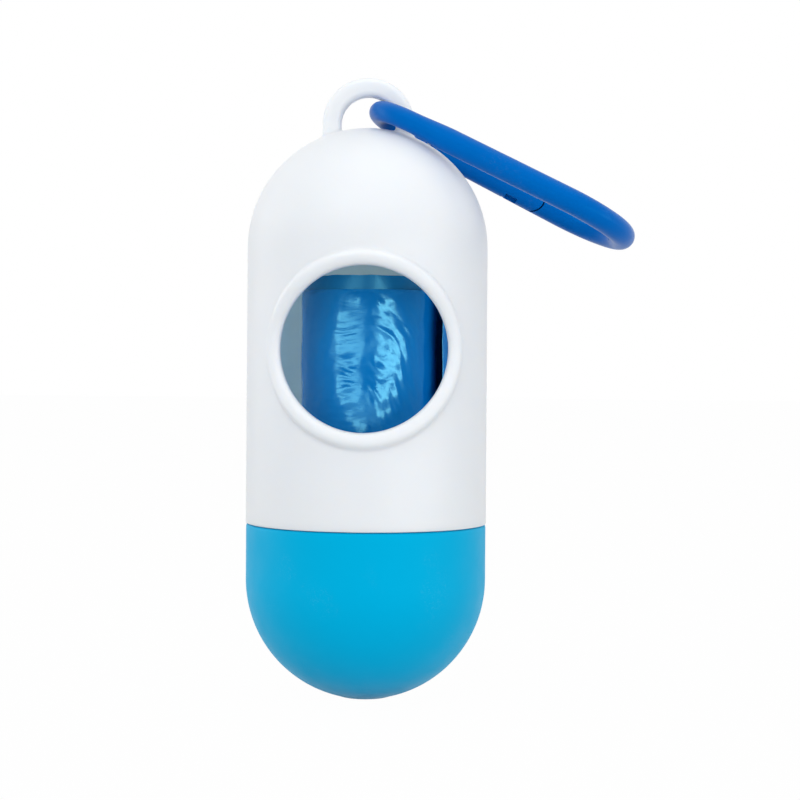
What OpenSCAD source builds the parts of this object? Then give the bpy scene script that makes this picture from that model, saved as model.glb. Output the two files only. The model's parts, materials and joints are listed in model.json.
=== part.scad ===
// A capsule-shaped dispenser for a roll of small film bags, hung by its loop from a carabiner.
// The origin is the centre of the loop's arch, +Z is up and the round outlet faces -Y.

/* [Case] */
// Outer diameter of the white upper shell
case_d = 40.6; // [39:0.2:46]
// Wall of the upper shell
shell_wall = 1.6; // [1.2:0.1:2]
// Straight length of the upper shell, from under its dome to the seam
barrel_h = 46.4; // [43:0.2:56]
// How far the cap's lip stands back from the shell's side
lip_step = 0.05; // [0:0.01:0.2]
// Open line between the shell's rim and the cap's lip
seam_gap = 0.1; // [0.1:0.05:0.4]
// Bevel on both edges of the seam
seam_bevel = 0.25; // [0.1:0.05:0.5]

/* [Cap] */
// Wall of the cap
cap_wall = 1.6; // [1.2:0.1:2]
// Straight side of the cap, from the seam down to its bowl
cap_side_h = 9.3; // [6:0.1:16]
// Depth by which the round bottom is cut flat
foot_cut = 0.35; // [0.2:0.05:1]
// Height of the neck that stands inside the shell
neck_h = 7; // [6.4:0.2:9]
// Wall of the neck
neck_wall = 1.4; // [1.2:0.1:1.8]

/* [Thread] */
// Travel of the cap for one turn
thread_lead = 4; // [3.6:0.1:5]
// Turns of each thread ridge
thread_turns = 1.25; // [1:0.05:1.3]
// Height of a ridge above its wall
thread_depth = 0.7; // [0.5:0.05:0.8]
// Width of a ridge at its foot
ridge_foot = 1.3; // [1:0.1:1.5]
// Width of a ridge at its crest
ridge_crest = 0.7; // [0.4:0.1:0.9]
// Gap between a crest and the wall that it faces
thread_gap = 0.2; // [0.15:0.05:0.3]

/* [Outlet] */
// Radius of the round outlet
port_r = 13.4; // [11:0.1:14]
// Drop from under the dome to the outlet's centre
port_drop = 17.2; // [15.5:0.1:20]
// Width of the raised bead around the outlet
bead_w = 2.1; // [1.6:0.1:2.6]

/* [Hang loop] */
// Inner radius of the loop's eye
eye_r = 4.6; // [4.5:0.1:6]
// Thickness of the loop's rod, seen from the front
loop_t = 3.1; // [2.6:0.1:3.6]
// Depth of the loop's rod, front to back
loop_depth = 4; // [3.8:0.1:4.4]
// Height of the arch's centre above the top of the dome
loop_rise = 0.8; // [0.6:0.1:2]

/* [Bag roll] */
// Bore of the cardboard tube
core_bore = 10; // [8:0.2:10.4]
// Wall of the cardboard tube
core_wall = 1; // [0.8:0.1:1.4]
// Diameter of the wound bags
roll_d = 21.8; // [20:0.2:25]
// Length of the wound bags
roll_l = 65.9; // [58:0.1:68]
// How far the tube's ends lie inside the roll's ends
core_inset = 1; // [0.4:0.1:2]
// Running gap between the tube and the bags on it
core_gap = 0.05; // [0.03:0.01:0.1]
// Gap under the roll's lower edge, where it stands in the bowl
seat_gap = 0.15; // [0.1:0.05:0.3]
// Thickness of the outer bag where it lies close to the roll
lead_t = 0.5; // [0.3:0.1:0.8]
// Gap between the roll and its outer bag
lead_gap = 0.1; // [0.05:0.05:0.2]
// Distance from the roll's top to the outer bag's top edge
lead_drop = 2.4; // [1:0.1:4]
// Length of the outer bag
lead_l = 57; // [50:0.5:58]
// Radius of the outer bag's loose turn
lead_loose_r = 12.3; // [12:0.1:13]
// Shift of the loose turn to the side where the bag's end lies
lead_shift = 2; // [1.5:0.1:2.2]

/* [Carabiner] */
// Length of the ring between the middles of its two end bends
ring_l = 46.1; // [42:0.1:60]
// Centreline radius of the narrow end, which hangs in the eye
narrow_r = 7.5; // [7.2:0.1:9]
// Centreline radius of the wide end
wide_r = 10.3; // [9.5:0.1:11.5]
// Thickness of the narrow end
narrow_d = 3.5; // [3:0.1:3.6]
// Thickness of the limbs and the wide end
limb_d = 4.1; // [3.8:0.1:4.5]
// Length over which each limb grows to its full thickness
taper_l = 6; // [4:0.5:8]
// Gap between the narrow end and the eye
link_gap = 0.16; // [0.1:0.02:0.3]
// Direction in the eye in which the ring's weight has pulled its narrow end
link_angle = 46.5; // [40:0.5:52]
// Tilt of the ring about its own length
ring_tilt = 2; // [0:0.5:3]
// Gap between the resting ring and the dome's shoulder
rest_gap = 0.35; // [0.3:0.05:1]

/* [Gate] */
// Distance along the limb to the gate's pin
pivot_s = 4.2; // [3.8:0.1:5]
// Distance along the limb to the gate's tip
tip_s = 24.9; // [22:0.1:25.5]
// Length by which the nose and the gate's tip lie side by side
lap_l = 6.4; // [4:0.1:8]
// Gap on the outer side between the gate's shoulder and the nose
lap_gap = 0.5; // [0.3:0.1:3]
// Length of the two notches beside the gate's tongue
notch_l = 2.2; // [1:0.1:3]
// Width of the tongue between the notches
tongue_w = 2.6; // [2:0.1:3.6]
// Gap around the closed gate
gate_gap = 0.25; // [0.2:0.05:0.35]
// Diameter of the gate's pin
pin_d = 1; // [0.8:0.1:1.2]
// Running gap around the pin
pin_gap = 0.05; // [0.03:0.01:0.1]
// Thickness of the gate's knuckle
knuckle_t = 1.5; // [1.2:0.1:1.7]
// Gap between the knuckle and each cheek of the fork
cheek_gap = 0.1; // [0.05:0.05:0.15]
// Radius of the gate's knuckle
knuckle_r = 1.6; // [1.4:0.05:1.7]
// Diameter of the spring wire
spring_d = 0.4; // [0.3:0.05:0.5]
// Length of the spring wire inside the gate
spring_reach = 9; // [6:0.5:12]
// Length of the spring wire inside the ring
spring_root = 2; // [1.5:0.1:2.2]
// Gap around the spring wire
spring_gap = 0.1; // [0.05:0.05:0.15]

/* [Hidden] */

$fn = 96;
white = [0.94, 0.945, 0.95];
cyan = [0.0, 0.67, 0.86];
kraft = [0.72, 0.6, 0.44];
film_blue = [0.02, 0.38, 0.66];
lead_blue = [0.06, 0.46, 0.74];
ring_blue = [0.02, 0.38, 0.72];
steel = [0.75, 0.76, 0.78];

// Case
case_r = case_d / 2;
bore_r = case_r - shell_wall;
dome_z = -loop_rise - case_r;
seam_z = dome_z - barrel_h;
cap_r = case_r - lip_step;
bowl_r = cap_r - cap_wall;
cap_top = seam_z - seam_gap;
bowl_z = cap_top - cap_side_h;
foot_z = bowl_z - cap_r + foot_cut;

// Thread
neck_r = bore_r - thread_depth - thread_gap;
neck_bore_r = neck_r - neck_wall;
male_crest_r = neck_r + thread_depth;
female_crest_r = bore_r - thread_depth;
thread_run = thread_lead * thread_turns;
thread_z = seam_z + (neck_h - thread_run) / 2;
thread_steps = 40;
ramp_steps = 4;
// How deep a ridge's foot is sunk into its wall
ridge_sink = 0.4;

// Outlet
port_z = dome_z - port_drop;
bead_r = bead_w / 2;
// The bead laps over the outlet's edge by a little, and the outlet is cut through it
bead_lap = 0.1;
bead_path_r = port_r + bead_r - bead_lap;
bead_steps = 72;
bead_sides = 12;

// Hang loop
loop_r = eye_r + loop_t;
loop_sink = 0.3;
leg_z = dome_z + sqrt(pow(case_r, 2) - pow(loop_r, 2)) - loop_sink;

// Bag roll
roll_r = roll_d / 2;
core_r = core_bore / 2 + core_wall;
film_bore_r = core_r + core_gap;
roll_z = bowl_z - sqrt(pow(bowl_r, 2) - pow(roll_r, 2)) + seat_gap;
lead_r = roll_r + lead_gap;
lead_z = roll_z + roll_l - lead_drop - lead_l;

// Carabiner
limb_r = limb_d / 2;
limb_span = ring_l - narrow_r - wide_r;
limb_a = asin((wide_r - narrow_r) / limb_span);
limb_l = limb_span * cos(limb_a);
bend_lap = 0.4;
bend_step = 0.03;
link_dist = eye_r - narrow_d / 2 - link_gap;
link_x = link_dist * cos(link_angle);
link_z = link_dist * sin(link_angle);
// The ring leans over the dome until its limbs are the resting gap away from the shoulder
link_h = link_z - dome_z;
far_drop = narrow_r * sin(ring_tilt);
limb_reach = case_r + narrow_d / 2 + far_drop + rest_gap;
plane_dist = sqrt(pow(limb_reach, 2) - pow(narrow_r, 2));
link_arm = sqrt(pow(link_x, 2) + pow(link_h, 2));
ring_slope = atan2(link_x, link_h) + acos(plane_dist / link_arm);

// Gate
fork_r = limb_r;
slot_t = knuckle_t + 2 * cheek_gap;
slot_r = knuckle_r + gate_gap;
lap_s = tip_s - lap_l;
tip_round_s = tip_s - limb_r;
pin_bore_r = pin_d / 2 + pin_gap;
pin_l = narrow_d;
spring_v = -(pin_d + spring_d) / 2 - spring_gap - pin_gap;
spring_start = pivot_s - slot_r - spring_root;
spring_l = pivot_s + spring_reach - spring_start;
// Longer than any cut through the rod
past = 3 * limb_d;

// Half outline of a round-ended tube, standing on y = 0 and turned about x = 0
module capsule_half(r, straight) {
    intersection() {
        union() {
            translate([0, straight]) circle(r = r);
            square([r, straight]);
        }
        square([r, straight + r]);
    }
}

// One helical ridge on a wall. The crest fades into the wall at both ends.
module thread_ridge(wall_r, crest_r, start_a) {
    out = sign(crest_r - wall_r);
    steps = round(thread_steps * thread_turns);
    function fade(i) = min(1, i / ramp_steps, (steps - i) / ramp_steps);
    function crest(i) = wall_r - out * ridge_sink / 2
                      + (crest_r - wall_r + out * ridge_sink / 2) * fade(i);
    section = [for (i = [0 : steps])
        [[wall_r - out * ridge_sink, -out * ridge_foot / 2], [crest(i), -out * ridge_crest / 2],
         [crest(i), out * ridge_crest / 2], [wall_r - out * ridge_sink, out * ridge_foot / 2]]];
    points = [for (i = [0 : steps])
        let (a = start_a + 360 * thread_turns * i / steps, rise = thread_run * i / steps)
        for (p = section[i]) [p[0] * cos(a), p[0] * sin(a), thread_z + rise + p[1]]];
    sides = [for (i = [0 : steps - 1], k = [0 : 3])
        let (n = (k + 1) % 4, low = 4 * i, high = 4 * i + 4)
        each [[low + k, high + n, high + k], [low + k, low + n, high + n]]];
    last = 4 * steps;
    ends = [[0, 2, 1], [0, 3, 2], [last, last + 1, last + 2], [last, last + 2, last + 3]];
    polyhedron(points = points, faces = concat(sides, ends), convexity = 8);
}

// The raised bead: a round rod that follows the outlet's edge over the curved side
module outlet_bead() {
    points = [for (i = [0 : bead_steps - 1], k = [0 : bead_sides - 1])
        let (a = 360 * i / bead_steps, b = 360 * k / bead_sides,
             path_x = bead_path_r * cos(a), r = bead_path_r + bead_r * cos(b))
        [r * cos(a), -sqrt(pow(case_r, 2) - pow(path_x, 2)) - bead_r * sin(b), r * sin(a)]];
    faces = [for (i = [0 : bead_steps - 1], k = [0 : bead_sides - 1])
        let (n = (k + 1) % bead_sides, here = bead_sides * i, next = bead_sides * ((i + 1) % bead_steps))
        each [[here + k, next + n, next + k], [here + k, here + n, next + n]]];
    translate([0, 0, port_z]) polyhedron(points = points, faces = faces, convexity = 8);
}

// Section of the loop's rod: round at the front and the back, flat in between
module loop_section() {
    half_flat = (loop_depth - loop_t) / 2;
    translate([eye_r + loop_t / 2, 0]) {
        for (y = [-half_flat, half_flat]) translate([0, y]) circle(d = loop_t);
        square([loop_t, 2 * half_flat], center = true);
    }
}

module hang_loop() {
    rotate([90, 0, 0]) rotate_extrude(angle = 180) loop_section();
    for (side = [0, 180]) rotate([0, 0, side]) translate([0, 0, leg_z])
        linear_extrude(height = -leg_z) loop_section();
}

module upper_shell() {
    color(white) union() {
        difference() {
            union() {
                translate([0, 0, seam_z]) rotate_extrude() difference() {
                    capsule_half(case_r, barrel_h);
                    translate([case_r, 0]) rotate(45) square(seam_bevel * sqrt(2), center = true);
                }
                hang_loop();
                outlet_bead();
            }
            translate([0, 0, seam_z - seam_gap]) rotate_extrude()
                capsule_half(bore_r, barrel_h + seam_gap);
            translate([0, 0, port_z]) rotate([90, 0, 0]) cylinder(r = port_r, h = case_d);
        }
        thread_ridge(bore_r, female_crest_r, 0);
    }
}

module lower_cap() {
    color(cyan) union() {
        translate([0, 0, cap_top]) rotate_extrude() difference() {
            union() {
                mirror([0, 1]) capsule_half(cap_r, cap_side_h);
                square([neck_r, neck_h + seam_gap]);
            }
            translate([0, -cap_wall]) mirror([0, 1]) capsule_half(bowl_r, cap_side_h - cap_wall);
            translate([0, -2 * cap_wall]) square([neck_bore_r, neck_h + seam_gap + 3 * cap_wall]);
            translate([0, foot_z - cap_top - case_d]) square([case_d, case_d]);
            translate([cap_r, 0]) rotate(45) square(seam_bevel * sqrt(2), center = true);
        }
        thread_ridge(neck_r, male_crest_r, 180);
    }
}

module core_tube() {
    color(kraft) translate([0, 0, roll_z + core_inset])
        linear_extrude(height = roll_l - 2 * core_inset) difference() {
            circle(r = core_r);
            circle(d = core_bore);
        }
}

module bag_roll() {
    color(film_blue) translate([0, 0, roll_z]) linear_extrude(height = roll_l) difference() {
        circle(r = roll_r);
        circle(r = film_bore_r);
    }
}

// The outer bag: close to the roll on one side, a loose turn on the other
module bag_lead() {
    color(lead_blue) translate([0, 0, lead_z]) linear_extrude(height = lead_l) difference() {
        union() {
            circle(r = lead_r + lead_t);
            translate([lead_shift, 0]) circle(r = lead_loose_r);
        }
        circle(r = lead_r);
    }
}

// Carabiner's own frame: x along the ring from the narrow end, y across it, z square to it
module in_ring() {
    translate([link_x, 0, link_z]) rotate([0, ring_slope, 0]) rotate([-ring_tilt, 0, 0]) children();
}

// Frame of the gate's limb: x along the limb, y outwards
module on_limb() {
    translate([narrow_r - narrow_r * sin(limb_a), narrow_r * cos(limb_a), 0])
        rotate([0, 0, limb_a]) children();
}

// A limb runs a little way into both end bends, and is a little thicker than they are
module limb_rod() {
    rotate([0, 90, 0]) translate([0, 0, -bend_lap]) {
        cylinder(h = bend_lap + taper_l, d1 = narrow_d + 2 * bend_step, d2 = limb_d);
        translate([0, 0, bend_lap + taper_l]) cylinder(h = limb_l - taper_l + bend_lap, d = limb_d);
    }
}

module end_bend(centre_x, bend_r, rod_d, from_a, span) {
    translate([centre_x, 0, 0]) rotate([0, 0, from_a]) rotate_extrude(angle = span)
        translate([bend_r, 0]) circle(d = rod_d);
}

// Everything short of the gate's rounded tip
module up_to_tip(grow) {
    translate([-past, -past, -limb_r - grow]) cube([past + tip_round_s, 2 * past, limb_d + 2 * grow]);
    translate([tip_round_s, 0, 0]) rotate([90, 0, 0])
        cylinder(r = limb_r + grow, h = 2 * past, center = true);
}

module fork() {
    difference() {
        intersection() {
            limb_rod();
            union() {
                translate([-past, -past, -past]) cube([past + pivot_s, 2 * past, 2 * past]);
                translate([pivot_s, 0, 0]) cylinder(r = fork_r, h = past, center = true);
            }
        }
        translate([pivot_s - slot_r, -past, -slot_t / 2]) cube([past, 2 * past, slot_t]);
        translate([pivot_s, 0, 0]) cylinder(d = pin_d, h = past, center = true);
        translate([spring_start, spring_v, 0]) rotate([0, 90, 0])
            cylinder(d = spring_d, h = spring_root + slot_r);
    }
}

module nose() {
    difference() {
        limb_rod();
        translate([-past, -past, -past]) cube([past + lap_s, 2 * past, 2 * past]);
        intersection() {
            up_to_tip(gate_gap);
            translate([-past, -past, -past]) cube([2 * past + limb_l, past, 2 * past]);
        }
    }
}

module carabiner_body() {
    color(ring_blue) in_ring() {
        end_bend(narrow_r, narrow_r, narrow_d, 90 + limb_a, 180 - 2 * limb_a);
        end_bend(ring_l - wide_r, wide_r, limb_d - 2 * bend_step, -90 - limb_a, 180 + 2 * limb_a);
        mirror([0, 1, 0]) on_limb() limb_rod();
        on_limb() {
            fork();
            nose();
        }
    }
}

module carabiner_gate() {
    // The knuckle's neck reaches across the gap into the bar
    neck_l = fork_r + 2 * gate_gap;
    neck_w = 2 * knuckle_r;
    color(ring_blue) in_ring() on_limb() difference() {
        union() {
            difference() {
                intersection() {
                    limb_rod();
                    up_to_tip(0);
                }
                translate([-past, -past, -past]) cube([past + pivot_s, 2 * past, 2 * past]);
                translate([pivot_s, 0, 0]) cylinder(r = fork_r + gate_gap, h = past, center = true);
                translate([lap_s - lap_gap, -gate_gap, -past]) cube([past, past, 2 * past]);
                for (side = [-1, 1])
                    translate([lap_s + notch_l / 2, 0, side * (past + tongue_w / 2)])
                        cube([notch_l, 2 * past, 2 * past], center = true);
            }
            translate([pivot_s, 0, 0]) cylinder(r = knuckle_r, h = knuckle_t, center = true);
            translate([pivot_s, -neck_w / 2, -knuckle_t / 2]) cube([neck_l, neck_w, knuckle_t]);
        }
        translate([pivot_s, 0, 0]) cylinder(r = pin_bore_r, h = past, center = true);
        translate([pivot_s - past, spring_v, 0]) rotate([0, 90, 0])
            cylinder(d = spring_d + 2 * spring_gap, h = past + spring_reach + spring_gap);
    }
}

module gate_pin() {
    color(steel) in_ring() on_limb() translate([pivot_s, 0, 0])
        cylinder(d = pin_d, h = pin_l, center = true);
}

module gate_spring() {
    color(steel) in_ring() on_limb() translate([spring_start, spring_v, 0]) rotate([0, 90, 0])
        cylinder(d = spring_d, h = spring_l);
}

upper_shell();
lower_cap();
core_tube();
bag_roll();
bag_lead();
carabiner_body();
carabiner_gate();
gate_pin();
gate_spring();
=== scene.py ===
"""A capsule-shaped dispenser for dog waste bags, hung from a small carabiner."""

import json
import math

import bmesh
import bpy
import numpy as np
from mathutils import Matrix, Vector


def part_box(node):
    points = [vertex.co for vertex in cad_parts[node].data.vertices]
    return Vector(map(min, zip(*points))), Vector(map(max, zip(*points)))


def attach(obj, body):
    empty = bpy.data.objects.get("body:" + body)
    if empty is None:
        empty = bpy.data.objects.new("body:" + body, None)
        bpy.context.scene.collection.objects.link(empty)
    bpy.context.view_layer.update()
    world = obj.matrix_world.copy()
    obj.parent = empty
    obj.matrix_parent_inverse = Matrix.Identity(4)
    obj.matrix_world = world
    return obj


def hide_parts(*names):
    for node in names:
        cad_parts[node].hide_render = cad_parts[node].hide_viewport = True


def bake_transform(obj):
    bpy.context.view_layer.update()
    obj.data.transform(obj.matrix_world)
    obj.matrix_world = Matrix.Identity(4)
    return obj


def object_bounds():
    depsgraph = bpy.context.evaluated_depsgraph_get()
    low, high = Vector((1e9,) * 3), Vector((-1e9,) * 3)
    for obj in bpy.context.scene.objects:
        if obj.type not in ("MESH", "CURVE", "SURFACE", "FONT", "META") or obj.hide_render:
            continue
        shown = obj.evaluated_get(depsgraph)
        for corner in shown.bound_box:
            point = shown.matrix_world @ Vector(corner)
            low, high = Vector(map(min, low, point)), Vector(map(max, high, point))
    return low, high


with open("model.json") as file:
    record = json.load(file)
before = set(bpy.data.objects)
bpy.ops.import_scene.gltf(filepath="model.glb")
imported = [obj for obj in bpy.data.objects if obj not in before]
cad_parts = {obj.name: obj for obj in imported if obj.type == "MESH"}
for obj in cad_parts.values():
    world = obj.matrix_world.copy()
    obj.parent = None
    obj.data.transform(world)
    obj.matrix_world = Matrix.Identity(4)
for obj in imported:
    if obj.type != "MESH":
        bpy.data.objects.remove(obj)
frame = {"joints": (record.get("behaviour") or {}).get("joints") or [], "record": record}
cad_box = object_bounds()

# ---------------------------------------------------------------------------
# Studio: a camera at the photograph's place, a pale floor and soft boxes. Two low, wide
# ones make the bright columns on the film, and two small glows inside the case stand
# for the light that comes through its thin white wall.
# ---------------------------------------------------------------------------
mm = 0.001
view_turn = math.radians(2)
view_roll = math.radians(0.4)
view_dist = 320 * mm
view_z = -41 * mm
lens = 84.917
frame_shift = (0.0414, -0.0425)

camera = bpy.data.objects.new("camera", bpy.data.cameras.new("camera"))
camera.location = (view_dist * math.sin(view_turn), -view_dist * math.cos(view_turn), view_z)
camera.rotation_euler = (Matrix.Rotation(view_turn, 3, "Z") @ Matrix.Rotation(math.pi / 2, 3, "X")
                         @ Matrix.Rotation(view_roll, 3, "Z")).to_euler()
camera.data.lens = lens
camera.data.sensor_width = 36
camera.data.shift_x, camera.data.shift_y = frame_shift
camera.data.clip_start = 10 * mm
bpy.context.scene.collection.objects.link(camera)
bpy.context.scene.camera = camera
bpy.context.scene.view_settings.view_transform = "Standard"


def around(item, azimuth, dist, lift):
    """Stands a studio item around the object, facing it; azimuth 0 is beside the camera."""
    angle = math.radians(azimuth)
    item.location = (dist * math.sin(angle), -dist * math.cos(angle), view_z + lift)
    aim = Vector((0, 0, view_z)) - item.location
    item.rotation_euler = aim.to_track_quat("-Z", "Y").to_euler()
    bpy.context.scene.collection.objects.link(item)


def soft_box(name, azimuth, dist, size, lift, power, mirrored=True):
    """An area lamp of a width and a height."""
    lamp = bpy.data.lights.new(name, "AREA")
    lamp.shape = "RECTANGLE"
    lamp.size, lamp.size_y = size
    lamp.energy = power
    box = bpy.data.objects.new(name, lamp)
    box.visible_camera = False
    box.visible_glossy = mirrored
    around(box, azimuth, dist, lift)


soft_box("left_box", azimuth=-30, dist=0.7, size=(0.60, 0.09), lift=-0.01, power=0.6)
soft_box("right_box", azimuth=46, dist=0.7, size=(0.80, 0.11), lift=0.0, power=1.6)
soft_box("front_box", azimuth=-20, dist=0.6, size=(0.5, 0.4), lift=0.5, power=1.1)
soft_box("top_box", azimuth=20, dist=0.1, size=(0.6, 0.6), lift=0.75, power=1.1)
soft_box("side_box", azimuth=-105, dist=0.6, size=(0.4, 0.4), lift=0.1, power=0.65)
glow_dist = 17.5 * mm
soft_box("glow_left", azimuth=-97, dist=glow_dist, size=(6 * mm, 40 * mm), lift=0.0,
         power=0.0010, mirrored=False)
soft_box("glow_right", azimuth=63, dist=glow_dist, size=(5 * mm, 34 * mm), lift=0.0,
         power=0.0006, mirrored=False)


def new_finish(name, inputs):
    """A material, its node tree and its shader, with what is the same all over the surface."""
    material = bpy.data.materials.new(name)
    material.use_nodes = True
    shader = material.node_tree.nodes["Principled BSDF"]
    for key, value in inputs.items():
        shader.inputs[key].default_value = value
    return material, material.node_tree, shader


def panel(name, half_x, half_y, z, material):
    """A flat rectangle, square to Z, for the studio."""
    mesh = bpy.data.meshes.new(name)
    mesh.from_pydata([(-half_x, -half_y, z), (half_x, -half_y, z), (half_x, half_y, z),
                      (-half_x, half_y, z)], [], [(0, 1, 2, 3)])
    mesh.materials.append(material)
    return bpy.data.objects.new(name, mesh)


# A dark card behind the camera, seen only in reflections
flag_black = new_finish("flag_black", {"Base Color": (0.01, 0.01, 0.01, 1)})[0]
flag = panel("flag", 1.2, 0.5, 0.0, flag_black)
flag.visible_camera = flag.visible_diffuse = flag.visible_shadow = False
around(flag, azimuth=8, dist=0.95, lift=0.0)


def add_node(tree, kind, inputs=(), **settings):
    """Adds a node. An input is linked where its value is a socket, and set where it isn't."""
    made = tree.nodes.new(kind)
    for key, value in settings.items():
        setattr(made, key, value)
    for key, value in dict(inputs).items():
        if isinstance(value, bpy.types.NodeSocket):
            tree.links.new(value, made.inputs[key])
        else:
            made.inputs[key].default_value = value
    return made


def maths(tree, operation, first, second=0.0):
    """The result of one Math node."""
    return add_node(tree, "ShaderNodeMath", {0: first, 1: second}, operation=operation).outputs[0]


def through_camera_white(tree, plain, white, output, share):
    """Mixes plain shading with pure white for what the camera, a mirror or glass sees."""
    path = tree.nodes.new("ShaderNodeLightPath").outputs
    seen = maths(tree, "MAXIMUM", path["Is Camera Ray"], path["Is Glossy Ray"])
    seen = maths(tree, "MAXIMUM", seen, path["Is Transmission Ray"])
    white = add_node(tree, white, {"Color": (1, 1, 1, 1), "Strength": 1})
    mix = add_node(tree, "ShaderNodeMixShader", {
        0: maths(tree, "MULTIPLY", seen, share), 1: plain, 2: white.outputs[0]})
    tree.links.new(mix.outputs[0], tree.nodes[output].inputs["Surface"])


world = bpy.data.worlds.new("studio")
bpy.context.scene.world = world
world.use_nodes = True
sky = world.node_tree.nodes["Background"]
sky.inputs["Color"].default_value = (0.93, 0.97, 1.0, 1)
sky.inputs["Strength"].default_value = 0.60
through_camera_white(world.node_tree, sky.outputs[0], "ShaderNodeBackground", "World Output",
                     share=1.0)

floor_half = 3.0
floor_gap = 0.02 * mm
paper, paper_tree, paper_shader = new_finish("floor_paper", {
    "Base Color": (0.6, 0.6, 0.6, 1), "Roughness": 0.9})
through_camera_white(paper_tree, paper_shader.outputs[0], "ShaderNodeEmission",
                     "Material Output", share=0.985)
floor = panel("floor", floor_half, floor_half, cad_box[0][2] - floor_gap, paper)
bpy.context.scene.collection.objects.link(floor)

# ---------------------------------------------------------------------------
# Upper shell: one injection moulding in white plastic, with its dome, straight
# barrel, hang loop and round outlet. The cap screws into the thread at its rim.
# ---------------------------------------------------------------------------
shell_low, shell_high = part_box("upper_shell")
case_r = shell_high[0]
seam_z = shell_low[2]
loop_top = shell_high[2]
bead_r = -shell_low[1] - case_r
shell_wall = 1.6 * mm
bore_r = case_r - shell_wall
loop_rise = 0.8 * mm
dome_z = -loop_rise - case_r
port_drop = 17.2 * mm
port_z = dome_z - port_drop
port_r = 13.4 * mm
bead_foot = 0.7 * mm
bead_lip = 1.5 * mm
rim_bevel = 0.15 * mm
bore_bevel = 0.1 * mm
eye_r = 4.6 * mm
loop_depth = 4 * mm
loop_corner = 1.0 * mm
loop_foot = 0.6 * mm
loop_sink = 0.3 * mm
neck_h = 7 * mm
thread_lead = 4 * mm
thread_turns = 1.25
thread_depth = 0.7 * mm
ridge_foot = 1.3 * mm
ridge_crest = 0.7 * mm
ridge_sink = 0.4 * mm
thread_z = seam_z + (neck_h - thread_lead * thread_turns) / 2
weld_dist = 0.002 * mm
least_edge = 0.001 * mm


def add_grid(points, faces, grid, wrap=True, skip=None):
    """Adds a grid of points as quads. A wrapped grid joins its last column to its first."""
    rows, columns = grid.shape[:2]
    first = len(points)
    points.extend(grid.reshape(-1, 3).tolist())
    for i in range(rows - 1):
        for j in range(columns if wrap else columns - 1):
            if skip is None or not skip(i, j):
                k = (j + 1) % columns
                faces.append((first + i * columns + j, first + i * columns + k,
                              first + (i + 1) * columns + k, first + (i + 1) * columns + j))


def cleaned(mesh):
    """The same mesh with its doubles merged and its faces turned outwards."""
    form = bmesh.new()
    form.from_mesh(mesh)
    bmesh.ops.remove_doubles(form, verts=form.verts, dist=weld_dist)
    bmesh.ops.dissolve_degenerate(form, edges=form.edges, dist=least_edge)
    bmesh.ops.recalc_face_normals(form, faces=form.faces)
    form.to_mesh(mesh)
    form.free()
    return mesh


def finished(name, mesh, material, body, nodes=(), sharp=35, inside=None, within=0.0):
    """Gives a mesh its shading, its material and its place in the frame. Faces that lie within
    a distance from the case's axis may have another material."""
    cleaned(mesh)
    mesh.shade_smooth()
    mesh.set_sharp_from_angle(angle=math.radians(sharp))
    mesh.materials.clear()
    mesh.materials.append(material)
    if inside:
        mesh.materials.append(inside)
        for face in mesh.polygons:
            face.material_index = int(face.center.xy.length < within and face.center.z < dome_z)
    piece = bpy.data.objects.new(name, mesh)
    bpy.context.scene.collection.objects.link(piece)
    if body:
        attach(piece, body)
    if nodes:
        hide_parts(*nodes)
    return piece


def joined(name, parts):
    """One mesh of several lists of points and faces, or of several meshes."""
    whole = bmesh.new()
    for part in parts:
        if not isinstance(part, bpy.types.Mesh):
            points, faces = part
            part = bpy.data.meshes.new(name + "_part")
            part.from_pydata(points, [], faces)
        whole.from_mesh(part)
        bpy.data.meshes.remove(part)
    mesh = bpy.data.meshes.new(name)
    whole.to_mesh(mesh)
    whole.free()
    return mesh


def noise(tree, place, scale, detail, **settings):
    """Uneven values from 0 to 1 over a piece, finer with a larger scale."""
    inputs = {"Vector": place, "Scale": scale, "Detail": detail, **settings}
    return add_node(tree, "ShaderNodeTexNoise", inputs).outputs["Fac"]


def between(tree, value, source, target):
    """A value carried from one range to another, and held at its ends."""
    inputs = {"Value": value, "From Min": source[0], "From Max": source[1],
              "To Min": target[0], "To Max": target[1]}
    return add_node(tree, "ShaderNodeMapRange", inputs).outputs[0]


def dyed(tree, factor, first, second, **settings):
    """A colour between two others."""
    inputs = {"Factor": factor, 6: first, 7: second}
    return add_node(tree, "ShaderNodeMix", inputs, data_type="RGBA", **settings).outputs[2]


def surfaced(tree, shader, colour, roughness, height, strength, distance):
    """Links a finish's colour and roughness, and bumps it."""
    bump = add_node(tree, "ShaderNodeBump", {
        "Height": height, "Strength": strength, "Distance": distance})
    for value, key in ((colour, "Base Color"), (roughness, "Roughness")):
        if value is not None:
            tree.links.new(value, shader.inputs[key])
    tree.links.new(bump.outputs[0], shader.inputs["Normal"])


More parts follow.
